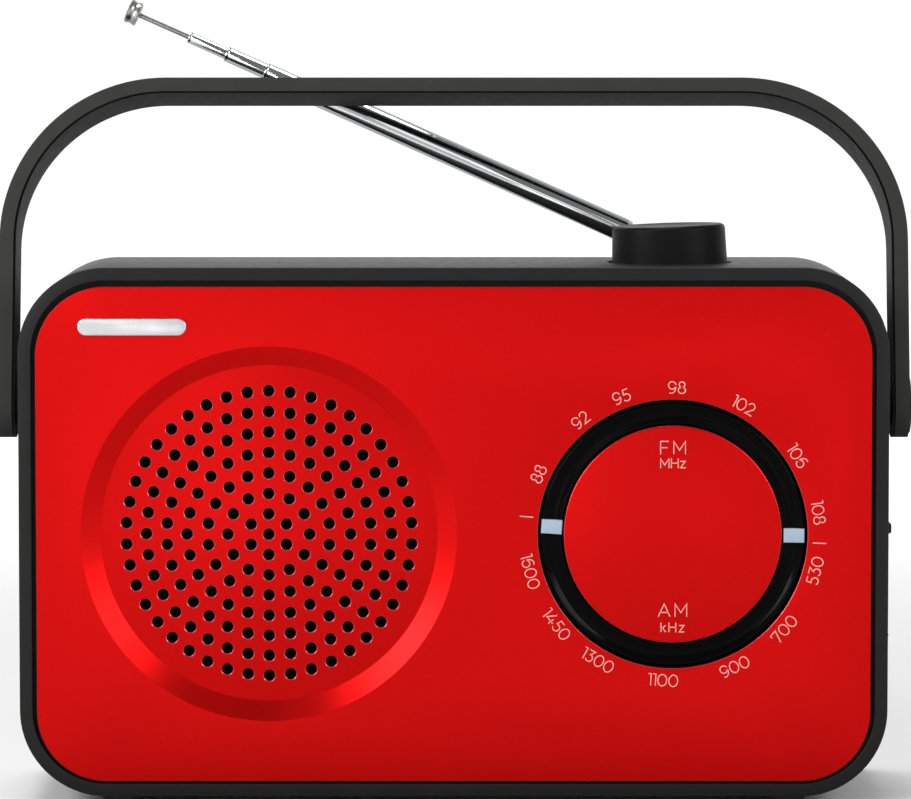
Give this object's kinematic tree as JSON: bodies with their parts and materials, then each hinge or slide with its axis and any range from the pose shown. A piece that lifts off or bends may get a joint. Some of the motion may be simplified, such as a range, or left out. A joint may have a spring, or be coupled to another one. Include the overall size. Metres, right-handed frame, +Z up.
{
  "type": "portable radio",
  "caption": "Portable radio with a carrying handle, round perforated speaker grille, ring tuning dial and telescopic antenna on a swivelling hub.",
  "frame": {"origin": "on the table surface under the middle of the cabinet", "axes": "+X to the right seen from the front, -Y out of the front, +Z up"},
  "size_m": [0.2552, 0.065, 0.2215],
  "materials": {
    "cabinet_black": "fine-textured moulded black plastic",
    "inlet_black": "smooth moulded black plastic",
    "faceplate_red": "satin metallic red lacquer",
    "badge_silver": "satin silver",
    "ring_gloss_black": "polished black plastic",
    "pointer_inlay": "pale blue-grey plastic inlay",
    "antenna_chrome": "bright chrome plate",
    "bright_steel": "plated steel",
    "foot_rubber": "black rubber",
    "moulded_white": "natural white moulded plastic",
    "magnet_grey": "dark sintered and laminated iron",
    "cone_paper": "black pressed paper pulp",
    "board_laminate": "brown resin-paper laminate",
    "ferrite_grey": "dark ferrite ceramic",
    "coil_copper": "enamelled copper winding",
    "cell_jacket": "printed metal jacket, plain"
  },
  "bodies": {
    "cabinet": {"front_cabinet": "cabinet_black", "rear_cabinet": "cabinet_black", "faceplate": "faceplate_red", "badge_bar": "badge_silver", "rubber_foot_1": "foot_rubber", "rubber_foot_2": "foot_rubber", "rubber_foot_3": "foot_rubber", "rubber_foot_4": "foot_rubber", "cabinet_screw_1": "bright_steel", "cabinet_screw_2": "bright_steel", "cabinet_screw_3": "bright_steel", "cabinet_screw_4": "bright_steel", "dial_disc": "faceplate_red", "dial_post": "moulded_white", "tuning_capacitor": "moulded_white", "volume_control": "bright_steel", "speaker_basket": "bright_steel", "speaker_magnet": "magnet_grey", "speaker_cone": "cone_paper", "speaker_dust_cap": "cone_paper", "circuit_board": "board_laminate", "coil_can": "bright_steel", "ferrite_rod": "ferrite_grey", "ferrite_coil": "coil_copper", "rod_holder_left": "moulded_white", "rod_holder_right": "moulded_white", "tone_control": "bright_steel", "band_switch": "bright_steel", "earphone_jack": "bright_steel", "power_transformer": "magnet_grey", "mains_inlet": "inlet_black", "battery_cell_1": "cell_jacket", "battery_cell_2": "cell_jacket", "battery_cell_3": "cell_jacket", "battery_cell_4": "cell_jacket", "battery_contact_negative": "bright_steel", "battery_contact_positive": "bright_steel", "handle_pivot_right": "cabinet_black", "handle_pivot_left": "cabinet_black"},
    "handle": {"handle": "cabinet_black"},
    "antenna_base": {"antenna_hub": "cabinet_black", "hub_washer": "bright_steel", "antenna_pin": "bright_steel"},
    "antenna_arm": {"antenna_knuckle": "bright_steel", "antenna_tube_1": "antenna_chrome"},
    "antenna_section_2": {"antenna_tube_2": "antenna_chrome"},
    "antenna_section_3": {"antenna_tube_3": "antenna_chrome"},
    "antenna_section_4": {"antenna_tube_4": "antenna_chrome"},
    "antenna_section_5": {"antenna_tube_5": "antenna_chrome"},
    "antenna_section_6": {"antenna_tube_6": "antenna_chrome"},
    "antenna_whip": {"antenna_rod": "antenna_chrome", "antenna_tip": "antenna_chrome"},
    "tuning_dial": {"tuning_ring": "ring_gloss_black", "pointer_fm": "pointer_inlay", "pointer_am": "pointer_inlay"},
    "capacitor_rotor": {"capacitor_gear": "moulded_white"},
    "volume_rotor": {"volume_knob": "cabinet_black"},
    "tone_rotor": {"tone_wheel": "cabinet_black"},
    "band_control": {"band_slider": "cabinet_black"},
    "battery_cover": {"battery_door": "cabinet_black"}
  },
  "joints": [
    {"name": "handle_swing", "type": "hinge", "parent": "cabinet", "child": "handle", "pos_m": [0, -0.01, 0.1086], "axis": [1, 0, 0], "range_deg": [0, 160]},
    {"name": "antenna_swivel", "type": "hinge", "parent": "cabinet", "child": "antenna_base", "pos_m": [0.0559, 0.0235, 0.1481], "axis": [0, 0, -1], "range_deg": [0, 180]},
    {"name": "antenna_tilt", "type": "hinge", "parent": "antenna_base", "child": "antenna_arm", "pos_m": [0.0559, 0.0235, 0.1527], "axis": [0, 1, 0], "range_deg": [-22.4, 66]},
    {"name": "antenna_slide_1", "type": "slide", "parent": "antenna_arm", "child": "antenna_section_2", "axis": [-0.9138, 0, 0.4061], "range_m": [-0.0025, 0.0795]},
    {"name": "antenna_slide_2", "type": "slide", "parent": "antenna_section_2", "child": "antenna_section_3", "axis": [-0.9138, 0, 0.4061], "range_m": [-0.0025, 0.0775]},
    {"name": "antenna_slide_3", "type": "slide", "parent": "antenna_section_3", "child": "antenna_section_4", "axis": [-0.9138, 0, 0.4061], "range_m": [-0.0115, 0.0665]},
    {"name": "antenna_slide_4", "type": "slide", "parent": "antenna_section_4", "child": "antenna_section_5", "axis": [-0.9138, 0, 0.4061], "range_m": [-0.0121, 0.064]},
    {"name": "antenna_slide_5", "type": "slide", "parent": "antenna_section_5", "child": "antenna_section_6", "axis": [-0.9138, 0, 0.4061], "range_m": [-0.0116, 0.0625]},
    {"name": "antenna_slide_6", "type": "slide", "parent": "antenna_section_6", "child": "antenna_whip", "axis": [-0.9138, 0, 0.4061], "range_m": [-0.015, 0.0563]},
    {"name": "dial_turn", "type": "hinge", "parent": "cabinet", "child": "tuning_dial", "pos_m": [0.0604, -0.03, 0.0745], "axis": [0, 1, 0], "range_deg": [0, 172]},
    {"name": "capacitor_turn", "type": "hinge", "parent": "cabinet", "child": "capacitor_rotor", "pos_m": [0.0604, -0.02, 0.05235], "axis": [0, 1, 0], "range_deg": [-172, 0]},
    {"name": "volume_turn", "type": "hinge", "parent": "cabinet", "child": "volume_rotor", "pos_m": [0.0607, 0.0018, 0.1481], "axis": [0.0349, 0, -0.9994], "range_deg": [0, 280]},
    {"name": "tone_turn", "type": "hinge", "parent": "cabinet", "child": "tone_rotor", "pos_m": [0.1139, 0.0024, 0.0426], "axis": [0, 1, 0], "range_deg": [0, 270]},
    {"name": "band_slide", "type": "slide", "parent": "cabinet", "child": "band_control", "axis": [0, 0, -1], "range_m": [0, 0.004]},
    {"name": "battery_door_hinge", "type": "hinge", "parent": "cabinet", "child": "battery_cover", "pos_m": [0, 0.0314, 0.0081], "axis": [-1, 0, 0], "range_deg": [0, 90]}
  ],
  "couplings": [
    {"joint": "capacitor_turn", "follows": "dial_turn", "ratio": -1}
  ]
}
